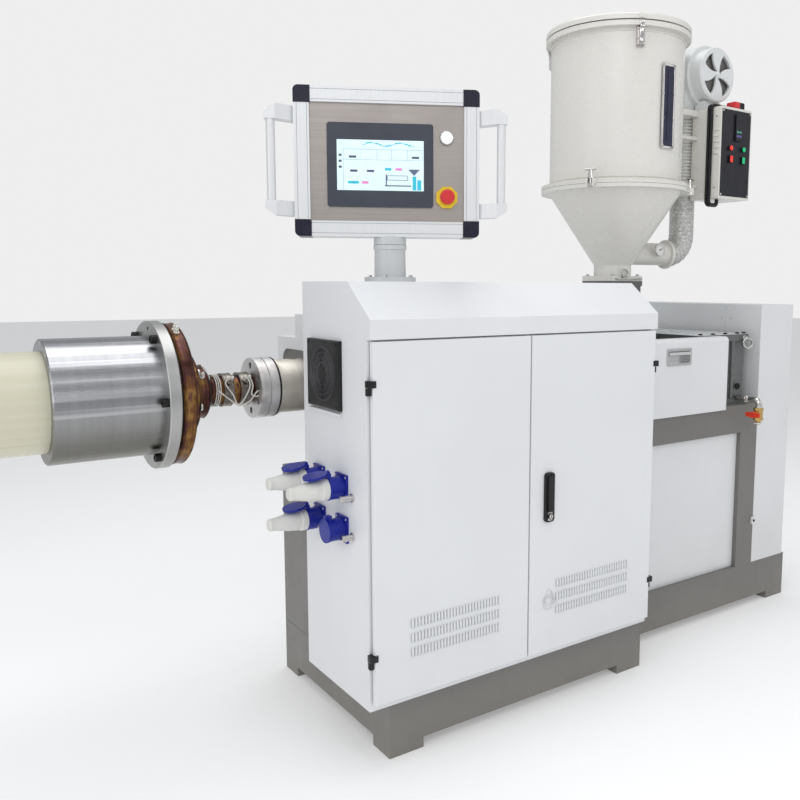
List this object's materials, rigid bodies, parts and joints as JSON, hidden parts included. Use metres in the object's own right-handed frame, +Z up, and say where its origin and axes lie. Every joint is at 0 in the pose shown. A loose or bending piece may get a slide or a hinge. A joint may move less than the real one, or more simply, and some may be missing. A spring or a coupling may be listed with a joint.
{
  "type": "plastic extruder",
  "caption": "Single-screw plastic pipe extruder with control cabinet, swivelling operator panel, hopper dryer, drive guard and pipe die.",
  "frame": {"origin": "middle of the machine's bounding box at floor level", "axes": "+X along the screw away from the die, +Y away from the operator, +Z up"},
  "size_m": [2.902, 0.9614, 2.285],
  "materials": {
    "frame_grey": "semi-gloss warm grey enamel",
    "cabinet_white": "smooth white powder coat",
    "black_plastic": "moulded black plastic",
    "socket_blue": "blue moulded plastic",
    "plug_white": "white moulded plastic",
    "connector_chrome": "plated",
    "barrel_steel": "turned steel dulled by heat",
    "die_steel": "heat-tinted steel",
    "flange_steel": "machined steel",
    "sleeve_aluminium": "turned aluminium",
    "pipe_cream": "milky extruded plastic",
    "gear_grey": "dark grey enamel on cast iron",
    "valve_brass": "cast brass",
    "valve_red": "red coated lever",
    "dryer_cream": "glossy cream enamel",
    "sight_glass": "dark tinted window",
    "latch_steel": "plated latch steel",
    "hose_silver": "foil wrapped hose",
    "blower_white": "light grey enamel",
    "control_black": "black printed panel",
    "cable_black": "black sheath",
    "arm_grey": "light grey enamel",
    "profile_white": "silver-white anodised profile",
    "cap_navy": "dark moulded corner",
    "face_steel": "brushed stainless sheet",
    "screen_dark": "dark grey bezel",
    "button_white": "lit white lens",
    "collar_yellow": "yellow collar",
    "stop_red": "red mushroom head"
  },
  "bodies": {
    "machine": {"barrel": "barrel_steel", "barrel_clamp": "barrel_steel", "barrel_guard": "cabinet_white", "barrel_supports": "frame_grey", "blower_housing": "blower_white", "cabinet_body": "cabinet_white", "cabinet_hood": "cabinet_white", "decks": "frame_grey", "die_body": "die_steel", "die_flange": "flange_steel", "drive_guard": "cabinet_white", "dryer_cables": "cable_black", "dryer_control_box": "dryer_cream", "dryer_control_panel": "control_black", "extruded_pipe": "pipe_cream", "fan_guard": "black_plastic", "feed_throat": "gear_grey", "frame_posts": "frame_grey", "gearbox": "gear_grey", "gearbox_cover": "cabinet_white", "hinge_blocks": "black_plastic", "hopper_base": "dryer_cream", "hopper_body": "dryer_cream", "hopper_clamps": "latch_steel", "hopper_cone": "dryer_cream", "hot_air_hose": "hose_silver", "infill_panels": "cabinet_white", "inlet_pipe": "dryer_cream", "intake_cover": "blower_white", "lower_frame": "frame_grey", "neck_heaters": "barrel_steel", "panel_post": "arm_grey", "plinth": "frame_grey", "power_plugs": "plug_white", "power_sockets": "socket_blue", "pull_handle": "connector_chrome", "sensor_connectors": "connector_chrome", "sight_glass": "sight_glass", "sizing_sleeve": "sleeve_aluminium", "upper_frame": "frame_grey", "water_pipe": "connector_chrome", "water_valve": "valve_brass"},
    "left_door": {"left_door": "cabinet_white"},
    "right_door": {"right_door": "cabinet_white", "door_handle": "black_plastic"},
    "operator_panel": {"panel_neck": "arm_grey", "panel_housing": "profile_white", "panel_corner_caps": "cap_navy", "panel_face": "face_steel", "touch_screen": "screen_dark", "stop_collar": "collar_yellow", "panel_handles": "profile_white"},
    "start_button": {"start_button": "button_white"},
    "stop_button": {"stop_button": "stop_red"},
    "hopper_lid": {"hopper_lid": "dryer_cream"},
    "valve_handle": {"valve_handle": "valve_red"}
  },
  "joints": [
    {"name": "left_door_hinge", "type": "hinge", "parent": "machine", "child": "left_door", "pos_m": [-0.651, -0.45325, 0], "axis": [0, 0, -1], "range_deg": [0, 110]},
    {"name": "right_door_hinge", "type": "hinge", "parent": "machine", "child": "right_door", "pos_m": [0.417, -0.45325, 0], "axis": [0, 0, 1], "range_deg": [0, 110]},
    {"name": "panel_swivel", "type": "hinge", "parent": "machine", "child": "operator_panel", "pos_m": [-0.45, -0.22425, 1.422], "axis": [0, 0, 1], "range_deg": [-61.5, 118.5]},
    {"name": "start_press", "type": "slide", "parent": "operator_panel", "child": "start_button", "axis": [0.4772, 0.8788, 0], "range_m": [0, 0.004], "stiffness_N_per_m": 800},
    {"name": "stop_press", "type": "slide", "parent": "operator_panel", "child": "stop_button", "axis": [0.4772, 0.8788, 0], "range_m": [0, 0.004]},
    {"name": "lid_hinge", "type": "hinge", "parent": "machine", "child": "hopper_lid", "pos_m": [0.774, 0.39775, 2.25775], "axis": [-1, 0, 0], "range_deg": [0, 100]},
    {"name": "valve_turn", "type": "hinge", "parent": "machine", "child": "valve_handle", "pos_m": [1.132, -0.35825, 0.814], "axis": [1, 0, 0], "range_deg": [0, 90]}
  ]
}
